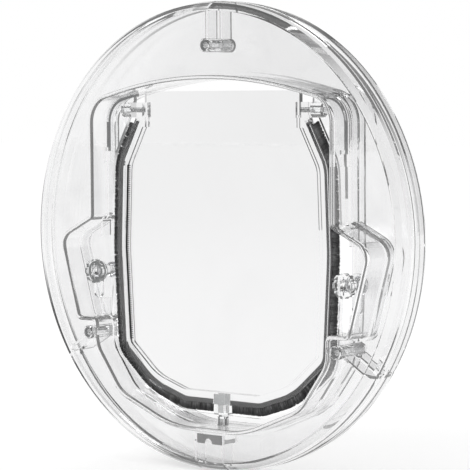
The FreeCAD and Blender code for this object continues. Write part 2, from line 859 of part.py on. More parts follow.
for side, tag in ((-1.0, "left"), (1.0, "right")):
    low, high = size("knuckle_inner"), size("knuckle_outer")
    pin_low = size("pin_start")
    if side < 0:
        low, high = -high, -low
        pin_low = -size("pin_end")
    half = size("knuckle_half")
    knuckles.append(block(
        "knuckle_" + tag, low, high, MID - half, MID + half, PIVOT_Z - half, PIVOT_Z + half))
    pin_length = size("pin_end") - size("pin_start")
    pins[tag] = rod("pivot_pin_" + tag, size("pin_radius"), pin_low, MID, PIVOT_Z,
                    pin_length, ALONG_X)
    pin_bores.append(rod("pin_bore_" + tag, size("pin_radius"), pin_low, MID, PIVOT_Z,
                         pin_length, ALONG_X))

BACKING_FRONT = MID - size("backing_thick") / 2
BACKING_BACK = MID + size("backing_thick") / 2
PILE_FRONT = MID - size("pile_thick") / 2
PILE_BACK = MID + size("pile_thick") / 2
backing_ring = cut(
    "backing_ring",
    slab("backing_blank", rail_outer, BACKING_FRONT, BACKING_BACK),
    slab("backing_bed", groove_bed, BACKING_FRONT - BEYOND, BACKING_BACK + BEYOND))
pile_ring = cut(
    "pile_ring",
    slab("pile_blank", brush_tips, PILE_FRONT, PILE_BACK),
    slab("pile_root", rail_outer, PILE_FRONT - BEYOND, PILE_BACK + BEYOND))
strip_zones = {}
for side, tag in ((-1.0, "left"), (1.0, "right")):
    low, high = size("strip_gap_half"), RIM
    if side < 0:
        low, high = -high, -low
    strip_zones[tag] = block(
        "strip_zone_" + tag, low, high, RAIL_FRONT, RAIL_BACK, -RIM, size("strip_top"))
backings = {tag: common("brush_backing_" + tag, backing_ring, zone)
            for tag, zone in strip_zones.items()}
piles = {tag: common("brush_pile_" + tag, pile_ring, zone)
         for tag, zone in strip_zones.items()}
grooves = fuse("grooves", backings["left"], backings["right"])

flap_panel = cut(
    "flap_panel",
    cut("flap_blank", fuse("flap_body", pane, rail_ring, *knuckles), *pin_bores),
    grooves)

# Magnet catch

HOLDER = size("holder_half")
rail_foot = -size("brush_sill_drop") + size("pile_length")
holder_foot = -size("holder_drop")
holder_front = RAIL_FRONT - size("holder_cheek")
holder_back = RAIL_BACK + size("holder_cheek")
magnet_half = size("flap_magnet_half")
magnet_front = MID - size("flap_magnet_depth") / 2
magnet_back = MID + size("flap_magnet_depth") / 2
magnet_foot = holder_foot + size("holder_floor")
magnet_holder = cut(
    "magnet_holder",
    block("holder_block", -HOLDER, HOLDER, holder_front, holder_back, holder_foot,
          -size("holder_top")),
    block("holder_slot", -HOLDER - BEYOND, HOLDER + BEYOND, RAIL_FRONT, RAIL_BACK,
          rail_foot, as_size(0)),
    block("holder_cavity", -magnet_half, magnet_half, magnet_front, magnet_back,
          magnet_foot, rail_foot))
flap_magnet = block("flap_magnet", -magnet_half, magnet_half, magnet_front, magnet_back,
                    magnet_foot, rail_foot)
frame_half = size("frame_magnet_half")
frame_front = MID - size("frame_magnet_depth") / 2
frame_back = MID + size("frame_magnet_depth") / 2
frame_top = POST_TOP - size("post_cap")
magnet_post = cut(
    "magnet_post",
    block("post_block", -POST_HALF, POST_HALF, post_front, post_back, SILL, POST_TOP),
    block("post_cavity", -frame_half, frame_half, frame_front, frame_back, SILL, frame_top))
frame_magnet = block("frame_magnet", -frame_half, frame_half, frame_front, frame_back,
                     SILL, frame_top)

# Turn locks

KNOB_FRONT = -size("knob_front")
KNOB_REAR = -size("knob_rear")
FLUTES = 8
locks = {}
for side, tag in ((-1.0, "left"), (1.0, "right")):
    x = LOCK_X * side
    flutes = []
    for index in range(FLUTES):
        angle = 2.0 * math.pi * (index + 0.5) / FLUTES
        reach = size("knob_radius") + size("flute_radius") * 0.4
        flutes.append(rod(
            "flute_%s_%d" % (tag, index), size("flute_radius"),
            x + reach * math.cos(angle), KNOB_FRONT - BEYOND, LOCK_Z + reach * math.sin(angle),
            KNOB_REAR - KNOB_FRONT + BEYOND * 2))
    head = cut(
        "knob_head_" + tag,
        rod("knob_disc_" + tag, size("knob_radius"), x, KNOB_FRONT, LOCK_Z,
            KNOB_REAR - KNOB_FRONT),
        *flutes)
    grip = block(
        "knob_grip_" + tag, x - size("grip_width") / 2, x + size("grip_width") / 2,
        KNOB_FRONT - size("grip_height"), KNOB_FRONT, LOCK_Z - size("grip_length") / 2,
        LOCK_Z + size("grip_length") / 2)
    stem_end = FLOOR - size("floor_gap")
    stem = rod("knob_stem_" + tag, size("stem_radius"), x, KNOB_REAR, LOCK_Z,
               stem_end - KNOB_REAR)
    journal = rod("knob_journal_" + tag, size("journal_radius"), x, stem_end, LOCK_Z,
                  size("journal_end") - stem_end)
    knob = fuse("lock_knob_" + tag, head, grip, stem, journal)
    if side < 0:
        finger_front = KNOB_REAR
        finger_back = KNOB_REAR + size("finger_thick")
    else:
        finger_front = size("rear_finger_front")
        finger_back = finger_front + size("rear_finger_thick")
    tip = LOCK_Z - size("finger_length") + size("finger_radius")
    finger_depth = finger_back - finger_front
    finger = cut(
        "lock_finger_" + tag,
        fuse(
            "finger_body_" + tag,
            rod("finger_ring_" + tag, size("finger_ring_radius"), x, finger_front, LOCK_Z,
                finger_depth),
            block("finger_arm_" + tag, x - size("finger_radius"), x + size("finger_radius"),
                  finger_front, finger_back, tip, LOCK_Z),
            rod("finger_tip_" + tag, size("finger_radius"), x, finger_front, tip, finger_depth)),
        rod("finger_bore_" + tag, size("stem_radius"), x, finger_front - BEYOND, LOCK_Z,
            finger_depth + BEYOND * 2))
    washer_front = FLOOR_BACK + size("floor_gap")
    washer = cut(
        "lock_washer_" + tag,
        rod("washer_disc_" + tag, size("washer_radius"), x, washer_front, LOCK_Z,
            size("washer_thick")),
        rod("washer_bore_" + tag, size("journal_radius"), x, washer_front - BEYOND, LOCK_Z,
            size("washer_thick") + BEYOND * 2))
    locks[tag] = (knob, finger, washer)

doc.recompute()

NODES = {
    "inner_frame": inner_frame,
    "outer_frame": outer_frame,
    "fixing_screws": fixing_screws,
    "corner_plate_left": corner_plates["left"],
    "corner_plate_right": corner_plates["right"],
    "flap_panel": flap_panel,
    "brush_backing_left": backings["left"],
    "brush_backing_right": backings["right"],
    "brush_pile_left": piles["left"],
    "brush_pile_right": piles["right"],
    "pivot_pin_left": pins["left"],
    "pivot_pin_right": pins["right"],
    "magnet_holder": magnet_holder,
    "flap_magnet": flap_magnet,
    "magnet_post": magnet_post,
    "frame_magnet": frame_magnet,
    "foot_buffer": foot_buffer,
    "lock_knob_left": locks["left"][0],
    "lock_knob_right": locks["right"][0],
    "lock_finger_left": locks["left"][1],
    "lock_finger_right": locks["right"][1],
    "lock_washer_left": locks["left"][2],
    "lock_washer_right": locks["right"][2],
}

for obj in doc.Objects:
    if "Invalid" in obj.State or "Error" in obj.State:
        raise RuntimeError("%s did not rebuild: %s" % (obj.Name, obj.State))
for label, obj in NODES.items():
    obj.Label = label
    shape = obj.Shape
    if shape.isNull() or not shape.isValid():
        raise RuntimeError("%s has no valid shape" % label)
    shape.exportStep("parts/%s.step" % label)
    box = shape.BoundBox
    print("%-20s solids %d faces %4d volume %10.1f  x %7.2f %7.2f y %7.2f %7.2f z %7.2f %7.2f" % (
        label, len(shape.Solids), len(shape.Faces), shape.Volume,
        box.XMin, box.XMax, box.YMin, box.YMax, box.ZMin, box.ZMax))
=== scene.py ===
"""Looks of a round clear cat flap for a glass door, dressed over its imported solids."""

import logging
import math
import random
from dataclasses import dataclass, field
from enum import Enum
from typing import Iterator, NamedTuple

import bmesh
import bpy
from mathutils import Matrix, Vector


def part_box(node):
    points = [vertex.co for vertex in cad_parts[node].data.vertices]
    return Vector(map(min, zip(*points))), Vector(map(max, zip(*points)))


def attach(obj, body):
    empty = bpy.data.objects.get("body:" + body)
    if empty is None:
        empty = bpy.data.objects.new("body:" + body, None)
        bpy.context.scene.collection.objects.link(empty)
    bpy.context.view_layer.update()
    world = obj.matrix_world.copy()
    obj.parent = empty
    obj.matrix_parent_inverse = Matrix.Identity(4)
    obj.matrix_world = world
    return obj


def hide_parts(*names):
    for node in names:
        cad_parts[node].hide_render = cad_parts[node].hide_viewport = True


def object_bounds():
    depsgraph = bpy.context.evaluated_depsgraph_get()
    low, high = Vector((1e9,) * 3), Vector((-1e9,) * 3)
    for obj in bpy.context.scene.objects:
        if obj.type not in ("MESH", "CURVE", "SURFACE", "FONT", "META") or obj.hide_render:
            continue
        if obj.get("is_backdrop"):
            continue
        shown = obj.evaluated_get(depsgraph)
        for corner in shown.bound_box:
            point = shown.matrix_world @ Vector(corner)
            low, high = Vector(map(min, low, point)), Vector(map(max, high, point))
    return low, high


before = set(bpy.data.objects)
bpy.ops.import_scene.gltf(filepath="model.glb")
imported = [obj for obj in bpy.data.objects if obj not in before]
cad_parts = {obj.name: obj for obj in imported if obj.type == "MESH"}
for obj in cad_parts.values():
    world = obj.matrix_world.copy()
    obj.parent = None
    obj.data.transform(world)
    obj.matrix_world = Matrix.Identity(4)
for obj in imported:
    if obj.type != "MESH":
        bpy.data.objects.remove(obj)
CAD_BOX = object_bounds()

log = logging.getLogger("cat_flap")

MM = 0.001
SHORTEST_RUN = 1e-9
WHITE = (1.0, 1.0, 1.0, 1.0)
ACRYLIC_IOR = 1.49
# Rays deeper than these are about to be dropped.
GLOSSY_LIMIT = 3.5
RAY_LIMIT = 11.5
# A Wave texture's scale times the pitch of its bands, about.
WAVE_RUN = 0.314
# The colour sockets of a Mix node.
MIX_SHARE, MIX_FIRST, MIX_SECOND, MIX_RESULT = 0, 6, 7, 2

Triple = tuple[float, float, float]
Colour = Triple
Corner = Triple


class Side(Enum):
    """The two sides of the flap, seen from the room."""

    LEFT = -1
    RIGHT = 1

    @property
    def word(self) -> str:
        """The side's name as the solids spell it."""
        return self.name.lower()


class Wiring:
    """Adds nodes to one node tree and joins them."""

    def __init__(self, tree: bpy.types.NodeTree) -> None:
        """Keeps the tree that the nodes go into."""
        self.tree = tree

    def add(self, kind: str, **settings: object) -> bpy.types.Node:
        """Makes a node.

        Args:
            kind: the node's type.
            settings: attributes to set on it.

        Returns:
            The new node.
        """
        made = self.tree.nodes.new(kind)
        for key, value in settings.items():
            setattr(made, key, value)
        return made

    def feed(self, socket: bpy.types.NodeSocket, value: object) -> None:
        """Links a socket to another one, or sets a plain value on it.

        Args:
            socket: the input.
            value: an output socket, a number or a colour.
        """
        if isinstance(value, bpy.types.NodeSocket):
            self.tree.links.new(value, socket)
        elif isinstance(value, tuple) and socket.type == "RGBA":
            socket.default_value = (*value, 1.0)
        else:
            socket.default_value = value

    def math(self, operation: str, *values: object) -> bpy.types.NodeSocket:
        """Adds a Math node.

        Args:
            operation: what it does.
            values: its inputs, in order.

        Returns:
            Its result.
        """
        made = self.add("ShaderNodeMath", operation=operation)
        for socket, value in zip(made.inputs, values):
            self.feed(socket, value)
        return made.outputs[0]

    def spread(self, value: object, low: float = 0.0, high: float = 1.0,
               start: float = 0.0, end: float = 1.0) -> bpy.types.NodeSocket:
        """Maps a value from one range to another, easing in and out.

        Args:
            value: what is mapped.
            low: where the range starts.
            high: where it ends.
            start: the result at low.
            end: the result at high.

        Returns:
            The mapped value.
        """
        made = self.add("ShaderNodeMapRange", interpolation_type="SMOOTHSTEP")
        for name, given in (("Value", value), ("From Min", low), ("From Max", high),
                            ("To Min", start), ("To Max", end)):
            self.feed(made.inputs[name], given)
        return made.outputs[0]

    def mix(self, share: object, first: object, second: object) -> bpy.types.NodeSocket:
        """Mixes two colours.

        Args:
            share: how much of the second.
            first: a colour or socket.
            second: a colour or socket.

        Returns:
            The mixed colour.
        """
        made = self.add("ShaderNodeMix", data_type="RGBA")
        self.feed(made.inputs[MIX_SHARE], share)
        self.feed(made.inputs[MIX_FIRST], first)
        self.feed(made.inputs[MIX_SECOND], second)
        return made.outputs[MIX_RESULT]

    def noise(self, place: object, scale: object, detail: float = 2.0,
              roughness: float = 0.5, distortion: float = 0.0) -> bpy.types.NodeSocket:
        """Adds a noise texture.

        Args:
            place: the coordinates.
            scale: how fine it is, per metre.
            detail: its octaves.
            roughness: how strong the fine octaves are.
            distortion: how much it winds.

        Returns:
            Its value.
        """
        made = self.add("ShaderNodeTexNoise")
        for name, given in (("Vector", place), ("Scale", scale), ("Detail", detail),
                            ("Roughness", roughness), ("Distortion", distortion)):
            self.feed(made.inputs[name], given)
        return made.outputs[0]

    def stretched(self, place: object, scale: Triple,
                  turn: Triple = (0, 0, 0)) -> bpy.types.NodeSocket:
        """Stretches and turns coordinates.

        Args:
            place: the coordinates.
            scale: the factor along each axis.
            turn: the turn about each axis, in degrees.

        Returns:
            The new coordinates.
        """
        made = self.add("ShaderNodeMapping")
        self.feed(made.inputs["Vector"], place)
        made.inputs["Rotation"].default_value = [math.radians(a) for a in turn]
        made.inputs["Scale"].default_value = scale
        return made.outputs[0]


def shader_group(name: str, inputs: dict[str, tuple[str, float]],
                 outputs: dict[str, str]) -> tuple[bpy.types.NodeTree, Wiring, dict, dict]:
    """Starts a node group that several materials share.

    Args:
        name: the group's name.
        inputs: each input's socket type and value.
        outputs: each output's socket type.

    Returns:
        The group, its wiring, the sockets that bring the inputs in, and those that take the
        outputs.
    """
    group = bpy.data.node_groups.new(name, "ShaderNodeTree")
    for label, (kind, value) in inputs.items():
        made = group.interface.new_socket(label, in_out="INPUT", socket_type=kind)
        if kind == "NodeSocketFloat":
            made.default_value = value
    for label, kind in outputs.items():
        group.interface.new_socket(label, in_out="OUTPUT", socket_type=kind)
    wiring = Wiring(group)
    entry = wiring.add("NodeGroupInput")
    leave = wiring.add("NodeGroupOutput")
    return (group, wiring, {s.name: s for s in entry.outputs if s.name},
            {s.name: s for s in leave.inputs if s.name})


class SurfaceGroups:
    """The node groups that the finishes share."""

    def __init__(self) -> None:
        """Builds each group once."""
        self.flow = self.moulding_flow()
        self.rub = self.fine_rub()
        self.strands = self.fibre_strands()

    @staticmethod
    def moulding_flow() -> bpy.types.NodeTree:
        """Slow waves and faint smears of plastic that has flowed in a mould.

        Returns:
            A group that gives a haze mask and a height.
        """
        group, wiring, given, wanted = shader_group(
            "moulding_flow",
            {"Place": ("NodeSocketVector", 0.0), "Smear Scale": ("NodeSocketFloat", 26.0),
             "Ripple Scale": ("NodeSocketFloat", 160.0)},
            {"Haze": "NodeSocketFloat", "Height": "NodeSocketFloat"})
        broad = wiring.noise(given["Place"], given["Smear Scale"], detail=3.0,
                             roughness=0.55, distortion=1.6)
        specks = wiring.noise(given["Place"], scale=900.0, roughness=0.7)
        wiring.feed(wanted["Haze"], wiring.math(
            "MULTIPLY", wiring.spread(broad, low=0.46, high=0.72),
            wiring.spread(specks, low=0.3, high=0.75, start=0.7)))
        ripple_share = 0.12
        ripple = wiring.noise(given["Place"], given["Ripple Scale"], detail=1.5,
                              roughness=0.4, distortion=0.6)
        wave = wiring.noise(given["Place"], given["Smear Scale"], detail=1.0,
                            roughness=0.3, distortion=0.8)
        wiring.feed(wanted["Height"], wiring.math("MULTIPLY_ADD", ripple, ripple_share, wave))
        return group

    @staticmethod
    def fine_rub() -> bpy.types.NodeTree:
        """Hair scratches and touch marks.

        Returns:
            A group that gives a mask of rubbed places.
        """
        group, wiring, given, wanted = shader_group(
            "fine_rub", {"Place": ("NodeSocketVector", 0.0), "Scale": ("NodeSocketFloat", 60.0)},
            {"Mask": "NodeSocketFloat"})
        along_hairs = wiring.stretched(given["Place"], scale=(40.0, 40.0, 900.0),
                                       turn=(0, 18, 0))
        hairs = wiring.noise(along_hairs, scale=1.0, roughness=0.7)
        patches = wiring.noise(given["Place"], given["Scale"], detail=3.0, roughness=0.6,
                               distortion=0.4)
        wiring.feed(wanted["Mask"], wiring.math(
            "MULTIPLY", wiring.spread(hairs, low=0.55, high=0.75),
            wiring.spread(patches, low=0.45, high=0.7)))
        return group

    @staticmethod
    def fibre_strands() -> bpy.types.NodeTree:
        """Uneven light and dark threads.

        Returns:
            A group that gives a tone and a height.
        """
        group, wiring, given, wanted = shader_group(
            "fibre_strands",
            {"Place": ("NodeSocketVector", 0.0), "Scale": ("NodeSocketFloat", 1500.0)},
            {"Tone": "NodeSocketFloat", "Height": "NodeSocketFloat"})
        coarser, clump_share = 0.25, 0.6
        fine = wiring.noise(given["Place"], given["Scale"], detail=3.0, roughness=0.7,
                            distortion=0.2)
        clumps = wiring.noise(given["Place"],
                              wiring.math("MULTIPLY", given["Scale"], coarser))
        tone = wiring.math("MULTIPLY_ADD", clumps, clump_share,
                           wiring.math("MULTIPLY", fine, 1.0 - clump_share))
        wiring.feed(wanted["Tone"], wiring.spread(tone, low=0.35, high=0.68))
        wiring.feed(wanted["Height"], fine)
        return group


def bare_material(
        name: str) -> tuple[bpy.types.Material, Wiring, bpy.types.Node, bpy.types.NodeSocket]:
    """Starts a material with a Principled BSDF.

    Args:
        name: the material's name.

    Returns:
        The material, its wiring, the shader and the object coordinates.
    """
    material = bpy.data.materials.new(name)
    material.use_nodes = True
    wiring = Wiring(material.node_tree)
    shader = material.node_tree.nodes["Principled BSDF"]
    place = wiring.add("ShaderNodeTexCoord").outputs["Object"]
    return material, wiring, shader, place


def placed(wiring: Wiring, group: bpy.types.NodeTree, place: bpy.types.NodeSocket,
           **values: float) -> bpy.types.Node:
    """Places a shared group in a material.

    Args:
        wiring: the material's wiring.
        group: the shared group.
        place: the coordinates it reads.
        values: its inputs, an underscore for each space.

    Returns:
        The group's node.
    """
    made = wiring.add("ShaderNodeGroup", node_tree=group)
    wiring.feed(made.inputs["Place"], place)
    for key, value in values.items():
        made.inputs[key.replace("_", " ")].default_value = value
    return made


def bumped(wiring: Wiring, shader: bpy.types.Node, height: bpy.types.NodeSocket,
           strength: float, depth: float) -> None:
    """Lets a height move the shader's normal.

    Args:
        wiring: the material's wiring.
        shader: the Principled BSDF.
        height: the height.
        strength: how strong the bump is.
        depth: how deep it is, in metres.
    """
    bump = wiring.add("ShaderNodeBump")
    bump.inputs["Strength"].default_value = strength
    bump.inputs["Distance"].default_value = depth
    wiring.feed(bump.inputs["Height"], height)
    wiring.feed(shader.inputs["Normal"], bump.outputs[0])


def paint_glow_for_trapped_light(wiring: Wiring, shader: bpy.types.Node, level: float) -> None:
    """Paints a glow on rays that run round inside a wall until they are dropped, in place of the
    light they would have brought back.

    Args:
        wiring: the material's wiring.
        shader: the Principled BSDF.
        level: how bright the painted glow is, standing in for the dropped light.
    """
    ray = wiring.add("ShaderNodeLightPath").outputs
    dropped = wiring.math(
        "MAXIMUM", wiring.math("GREATER_THAN", ray["Glossy Depth"], GLOSSY_LIMIT),
        wiring.math("GREATER_THAN", ray["Ray Depth"], RAY_LIMIT))
    shader.inputs["Emission Color"].default_value = WHITE
    wiring.feed(shader.inputs["Emission Strength"], wiring.math("MULTIPLY", dropped, level))


@dataclass(frozen=True)
class ClearPlastic:
    """Clear moulded plastic with faint smears, ripples and rubbed places, and a painted glow on
    rays deep inside it.
    """

    name: str
    clean: Colour
    smeared: Colour
    roughness: float = 0.015
    rubbed: float = 0.06
    smear_scale: float = 26.0
    ripple_depth: float = 0.00010
    # Painted glow on rays deep inside the plastic.
    painted_glow: float = 0.11

    def build(self, groups: SurfaceGroups) -> bpy.types.Material:
        """Makes the material.

        Args:
            groups: the shared groups.

        Returns:
            The clear plastic.
        """
        material, wiring, shader, place = bare_material(self.name)
        flow = placed(wiring, groups.flow, place, Smear_Scale=self.smear_scale)
        rub = placed(wiring, groups.rub, place)
        wiring.feed(shader.inputs["Base Color"],
                    wiring.mix(flow.outputs["Haze"], self.clean, self.smeared))
        wiring.feed(shader.inputs["Roughness"], wiring.spread(
            rub.outputs["Mask"], start=self.roughness, end=self.rubbed))
        shader.inputs["IOR"].default_value = ACRYLIC_IOR
        shader.inputs["Transmission Weight"].default_value = 1.0
        paint_glow_for_trapped_light(wiring, shader, self.painted_glow)
        bumped(wiring, shader, flow.outputs["Height"], strength=1.0,
               depth=self.ripple_depth)
        material.cycles.emission_sampling = "NONE"
        return material


@dataclass(frozen=True)
class Bristle:
    """Black nylon bristles, each a little lighter or darker, with painted shade that darkens
    them towards the tip.
    """

    name: str
    dark: Colour
    light: Colour
    own_share: float = 0.75
    painted_tip_shade: float = 0.35
    contrast: float = 1.5
    roughness: float = 0.45
    roughness_span: float = 0.25

    def build(self, groups: SurfaceGroups) -> bpy.types.Material:
        """Makes the material.

        Args:
            groups: the shared groups.

        Returns:
            The bristles' material.
        """
        material, wiring, shader, place = bare_material(self.name)
        strands = placed(wiring, groups.strands, place, Scale=700.0)
        own = wiring.add("ShaderNodeAttribute", attribute_name=BrushStrip.SHADE).outputs["Fac"]
        rise = wiring.add("ShaderNodeAttribute", attribute_name=BrushStrip.RISE).outputs["Fac"]
        mixed = wiring.math("MULTIPLY_ADD", own, self.own_share, wiring.math(
            "MULTIPLY", strands.outputs["Tone"], 1.0 - self.own_share))
        # Painted shade: each bristle's tone falls from the root towards the tip.
        tone = wiring.math("MULTIPLY", mixed, wiring.spread(
            rise, low=0.2, high=0.8, start=1.0, end=self.painted_tip_shade))
        wiring.feed(shader.inputs["Base Color"], wiring.mix(
            wiring.math("POWER", tone, self.contrast), self.dark, self.light))
        wiring.feed(shader.inputs["Roughness"], wiring.spread(
            tone, start=self.roughness, end=self.roughness + self.roughness_span))
        shader.inputs["Sheen Weight"].default_value = 0.2
        bumped(wiring, shader, strands.outputs["Height"], strength=0.4, depth=0.00008)
        return material


@dataclass(frozen=True)
class WovenTape:
    """The brush's woven backing: fine ribs of yarn across the strip."""

    name: str
    dark: Colour
    light: Colour
    pitch: float = 0.0008

    def build(self, groups: SurfaceGroups) -> bpy.types.Material:
        """Makes the material.

        Args:
            groups: the shared groups.

        Returns:
            The tape's material.
        """
        material, wiring, shader, place = bare_material(self.name)
        wave = wiring.add("ShaderNodeTexWave", wave_type="BANDS", bands_direction="DIAGONAL")
        wiring.feed(wave.inputs["Vector"], place)
        wave.inputs["Scale"].default_value = WAVE_RUN / self.pitch
        wave.inputs["Distortion"].default_value = 0.6
        strands = placed(wiring, groups.strands, place, Scale=1800.0)
        tone = wiring.math("MULTIPLY", wave.outputs["Fac"],
                           wiring.spread(strands.outputs["Tone"], start=0.6))
        wiring.feed(shader.inputs["Base Color"], wiring.mix(tone, self.dark, self.light))
        wiring.feed(shader.inputs["Roughness"],
                    wiring.spread(strands.outputs["Tone"], start=0.6, end=0.85))
        shader.inputs["Sheen Weight"].default_value = 0.3
        bumped(wiring, shader, tone, strength=0.6, depth=0.00015)
        return material


@dataclass(frozen=True)
class SoftRubber:
    """Grey rubber with a fine matt grain."""

    name: str
    colour: Colour
    dusty: Colour

    def build(self, groups: SurfaceGroups) -> bpy.types.Material:
        """Makes the material.

        Args:
            groups: the shared groups.

        Returns:
            The rubber.
        """
        material, wiring, shader, place = bare_material(self.name)
        flow = placed(wiring, groups.flow, place, Smear_Scale=120.0, Ripple_Scale=2500.0)
        rub = placed(wiring, groups.rub, place, Scale=200.0)
        wiring.feed(shader.inputs["Base Color"],
                    wiring.mix(flow.outputs["Haze"], self.colour, self.dusty))
        wiring.feed(shader.inputs["Roughness"],
                    wiring.spread(rub.outputs["Mask"], start=0.62, end=0.8))
        bumped(wiring, shader, flow.outputs["Height"], strength=0.3, depth=0.0002)
        return material


@dataclass(frozen=True)
class BrightMetal:
    """Plated or bare metal with a brushed grain, and a painted glow on deep rays."""

    name: str
    colour: Colour
    worn: Colour
    roughness: float = 0.22
    roughness_span: float = 0.15
    grain: Triple = (300.0, 300.0, 6000.0)
    # Painted glow on deep rays, which makes the metal look brighter.
    painted_glow: float = 0.45

    def build(self, groups: SurfaceGroups) -> bpy.types.Material:
        """Makes the material.

        Args:
            groups: the shared groups.

        Returns:
            The metal.
        """
        material, wiring, shader, place = bare_material(self.name)
        rub = placed(wiring, groups.rub, place, Scale=300.0)
        grain = wiring.noise(wiring.stretched(place, self.grain), scale=1.0, roughness=0.6)
        wiring.feed(shader.inputs["Base Color"],
                    wiring.mix(rub.outputs["Mask"], self.colour, self.worn))
        wiring.feed(shader.inputs["Roughness"], wiring.spread(
            grain, low=0.3, high=0.7, start=self.roughness,
            end=self.roughness + self.roughness_span))
        shader.inputs["Metallic"].default_value = 1.0
        paint_glow_for_trapped_light(wiring, shader, self.painted_glow)
        bumped(wiring, shader, grain, strength=0.15, depth=0.00002)
        material.cycles.emission_sampling = "NONE"
        return material


@dataclass
class Finishes:
    """Every finish of the flap: one for each of the record's slots, and two more.

    The catch and the toothed edge have a finish of their own in a slot that they share.
    """

    groups: SurfaceGroups = field(default_factory=SurfaceGroups)
    made: dict[str, bpy.types.Material] = field(default_factory=dict)

    def build(self) -> None:
        """Makes each finish once."""
        recipes = {
            "clear_frame": ClearPlastic("clear_frame_plastic", (0.960, 0.960, 0.962),
                                        (0.915, 0.915, 0.918)),
            "clear_flap": ClearPlastic("clear_flap_plastic", (0.905, 0.905, 0.907),
                                       (0.885, 0.885, 0.887), smear_scale=8.0,
                                       ripple_depth=0.00004, painted_glow=0.07),
            "clear_small": ClearPlastic("clear_small_plastic", (0.975, 0.98, 0.98),
                                        (0.94, 0.945, 0.95), smear_scale=90.0,
                                        painted_glow=0.10),
            # The catch carries a stronger painted glow, which makes it look lighter.
            "clear_catch": ClearPlastic("clear_catch_plastic", (0.975, 0.98, 0.98),
                                        (0.94, 0.945, 0.95), smear_scale=90.0,
                                        painted_glow=0.55),
            "clear_screw": ClearPlastic("clear_screw_nylon", (0.96, 0.965, 0.965),
                                        (0.90, 0.905, 0.91), roughness=0.08,
                                        smear_scale=160.0),
            "brush_backing": WovenTape("woven_backing_tape", (0.05, 0.05, 0.051),
                                       (0.26, 0.26, 0.263)),
            "brush_pile": Bristle("black_bristles", (0.010, 0.010, 0.011), (0.58, 0.58, 0.585)),
            "selvedge": WovenTape("dark_selvedge_yarn", (0.006, 0.006, 0.006),
                                  (0.03, 0.03, 0.031)),
            "grey_buffer": SoftRubber("grey_buffer_rubber", (0.44, 0.44, 0.445),
                                      (0.54, 0.54, 0.545)),
            # Both metals keep BrightMetal's stronger default painted glow, which makes the
            # magnet look lighter.
            "steel_washer": BrightMetal("spring_steel", (0.62, 0.62, 0.64), (0.45, 0.45, 0.47)),
            "magnet": BrightMetal("nickel_plating", (0.90, 0.90, 0.895), (0.78, 0.78, 0.77),
                                  roughness=0.42),
        }
        for slot, recipe in recipes.items():
            self.made[slot] = recipe.build(self.groups)
            log.info("finish %s", self.made[slot].name)

    def dress(self, nodes: dict[str, str]) -> None:
        """Gives carried-over solids their finishes.

        Args:
            nodes: each solid's name and its finish.
        """
        for name, finish in nodes.items():
            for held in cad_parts[name].material_slots:
                held.material = self.made[finish]
            log.info("dressed %s", name)


def piece_from(bm: bmesh.types.BMesh, name: str,
               material: bpy.types.Material) -> bpy.types.Object:
    """Turns a finished bmesh into an object in the scene.

    Args:
        bm: the bmesh, which is freed.
        name: the object's name.
        material: its material.

    Returns:
        The object.
    """
    mesh = bpy.data.meshes.new(name)
    bm.to_mesh(mesh)
    bm.free()
    mesh.materials.append(material)
    piece = bpy.data.objects.new(name, mesh)
    bpy.context.scene.collection.objects.link(piece)
    log.info("%s: %d faces", name, len(mesh.polygons))
    return piece


